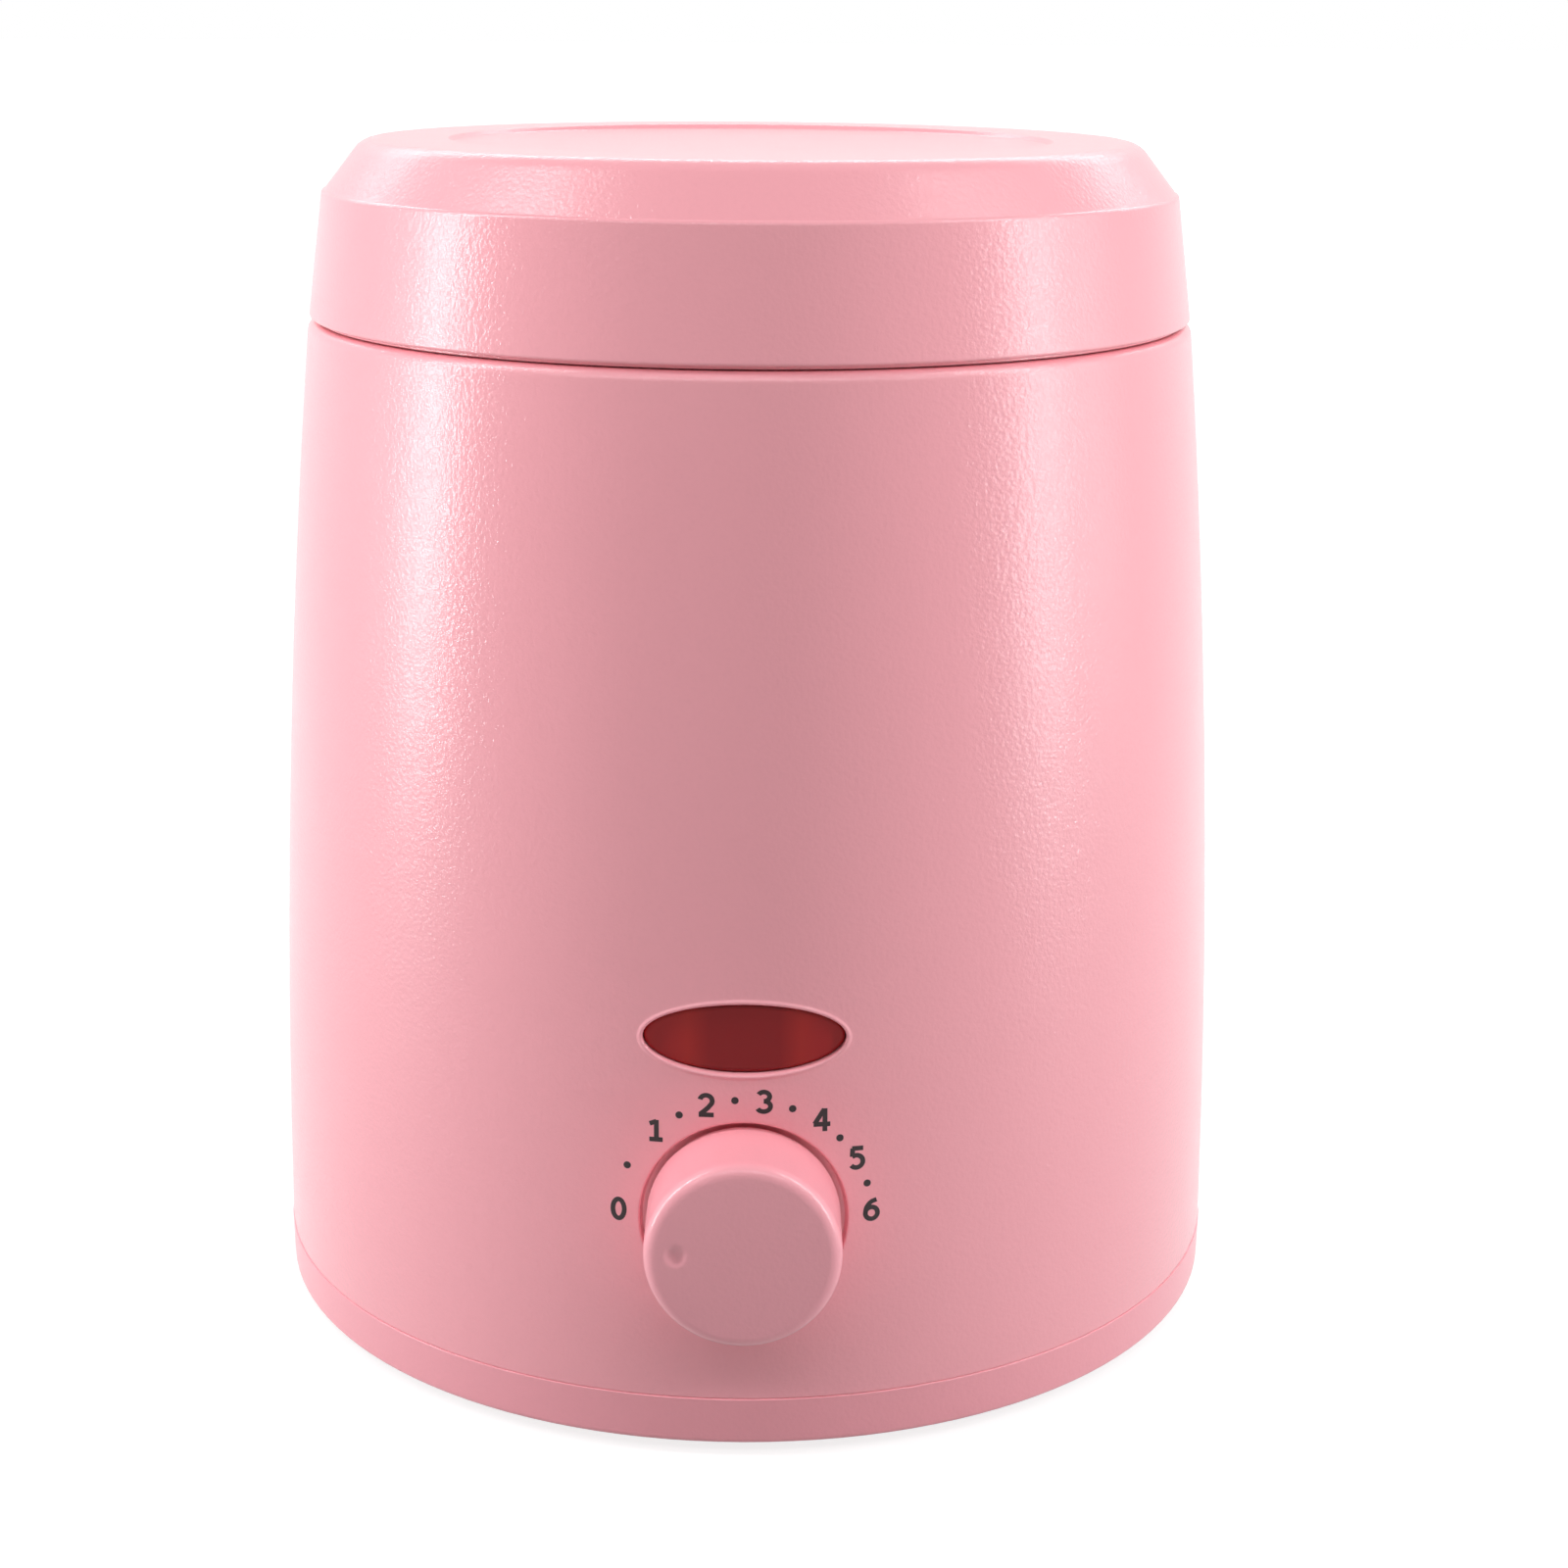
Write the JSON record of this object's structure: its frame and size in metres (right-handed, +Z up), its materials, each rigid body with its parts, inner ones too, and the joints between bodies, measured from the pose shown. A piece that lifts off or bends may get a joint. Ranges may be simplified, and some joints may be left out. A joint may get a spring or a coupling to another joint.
{
  "type": "wax warmer",
  "caption": "Barrel-shaped table-top wax warmer with a lift-off lid, a removable pot with a bail in a heated well, a front heat dial and an indicator window.",
  "frame": {"origin": "On the table under the middle of the body's axis, at the level of the feet's undersides; the knob in front and the cord gland behind stand out equally, so it is also the middle of the overall box's bottom", "axes": "+Z up along the body's axis, -Y to the front (the dial and indicator window), +Y to the cord gland at the back, +X to the right seen from the front"},
  "size_m": [0.1158, 0.1338, 0.1385],
  "materials": {
    "housing_plastic": "satin moulded plastic with a fine orange-peel texture, dusky pink",
    "base_plastic": "satin moulded plastic, dusky pink",
    "foot_rubber": "matte",
    "screw_steel": "zinc-plated",
    "lid_plastic": "satin moulded plastic, dusky pink",
    "well_aluminium": "satin spun aluminium",
    "gasket_silicone": "matte silicone",
    "pot_aluminium": "satin spun aluminium",
    "ear_steel": "brushed",
    "bail_steel": "bright drawn wire",
    "heater_case": "satin",
    "mica": "matte flaky sheet",
    "zinc_steel": "zinc-plated sheet steel",
    "fuse_sleeve": "woven glass-fibre sleeve",
    "nut_brass": "machined",
    "steatite": "matte fired ceramic",
    "spring_bronze": "rolled spring strip",
    "bimetal": "rolled strip",
    "shaft_steel": "turned",
    "knob_plastic": "satin moulded plastic, dusky pink",
    "lens_red": "glossy translucent red",
    "holder_plastic": "matte heat-resistant plastic",
    "lamp_glass": "clear glass with electrodes",
    "resistor_coat": "lacquered",
    "block_plastic": "matte nylon",
    "sleeve_brass": "machined",
    "gland_plastic": "matte black nylon",
    "wire_brown": "PVC insulation, brown",
    "wire_white": "silicone insulation, white",
    "wire_blue": "PVC insulation, blue",
    "wire_red": "PVC insulation, red"
  },
  "bodies": {
    "base": {"housing": "housing_plastic", "base_cover": "base_plastic", "rubber_feet": "foot_rubber", "base_screws": "screw_steel", "heating_well": "well_aluminium", "well_gasket": "gasket_silicone", "well_screws": "screw_steel", "ptc_heater": "heater_case", "mica_sheet": "mica", "heater_clamp": "zinc_steel", "heater_screws": "screw_steel", "thermal_fuse": "fuse_sleeve", "fuse_strap": "zinc_steel", "fuse_screw": "screw_steel", "thermostat_bracket": "zinc_steel", "bracket_screws": "screw_steel", "thermostat_frame": "zinc_steel", "thermostat_washer": "screw_steel", "thermostat_nut": "nut_brass", "thermostat_ceramics": "steatite", "thermostat_rivet": "screw_steel", "front_contact_leaf": "spring_bronze", "rear_contact_leaf": "spring_bronze", "bimetal_strip": "bimetal", "indicator_lens": "lens_red", "lamp_holder": "holder_plastic", "lamp_screws": "screw_steel", "neon_lamp": "lamp_glass", "lamp_resistor": "resistor_coat", "terminal_block": "block_plastic", "terminal_sleeves": "sleeve_brass", "terminal_screws": "screw_steel", "block_screw": "screw_steel", "cord_gland": "gland_plastic", "gland_nut": "gland_plastic", "crimp_terminals": "sleeve_brass", "live_wire": "wire_brown", "heater_wire": "wire_white", "fuse_wire": "wire_white", "neutral_wire": "wire_blue", "lamp_wires": "wire_red"},
    "pot": {"wax_pot": "pot_aluminium", "pot_ears": "ear_steel"},
    "lid": {"lid": "lid_plastic"},
    "bail": {"pot_bail": "bail_steel"},
    "dial": {"knob": "knob_plastic", "knob_clip": "screw_steel", "thermostat_shaft": "shaft_steel"}
  },
  "joints": [
    {"name": "pot_lift", "type": "slide", "parent": "base", "child": "pot", "axis": [0, 0, 1], "range_m": [0, 0.1]},
    {"name": "lid_lift", "type": "slide", "parent": "pot", "child": "lid", "axis": [0, 0, 1], "range_m": [0, 0.12]},
    {"name": "bail_swing", "type": "hinge", "parent": "pot", "child": "bail", "pos_m": [0, 0, 0.1231], "axis": [1, 0, 0], "range_deg": [0, 185]},
    {"name": "dial_turn", "type": "hinge", "parent": "base", "child": "dial", "pos_m": [0, -0.0556, 0.028], "axis": [0, 1, 0], "range_deg": [0, 174]}
  ],
  "couplings": [
    {"joint": "bail_swing", "follows": "lid_lift", "rad_per_m": 26.9}
  ]
}
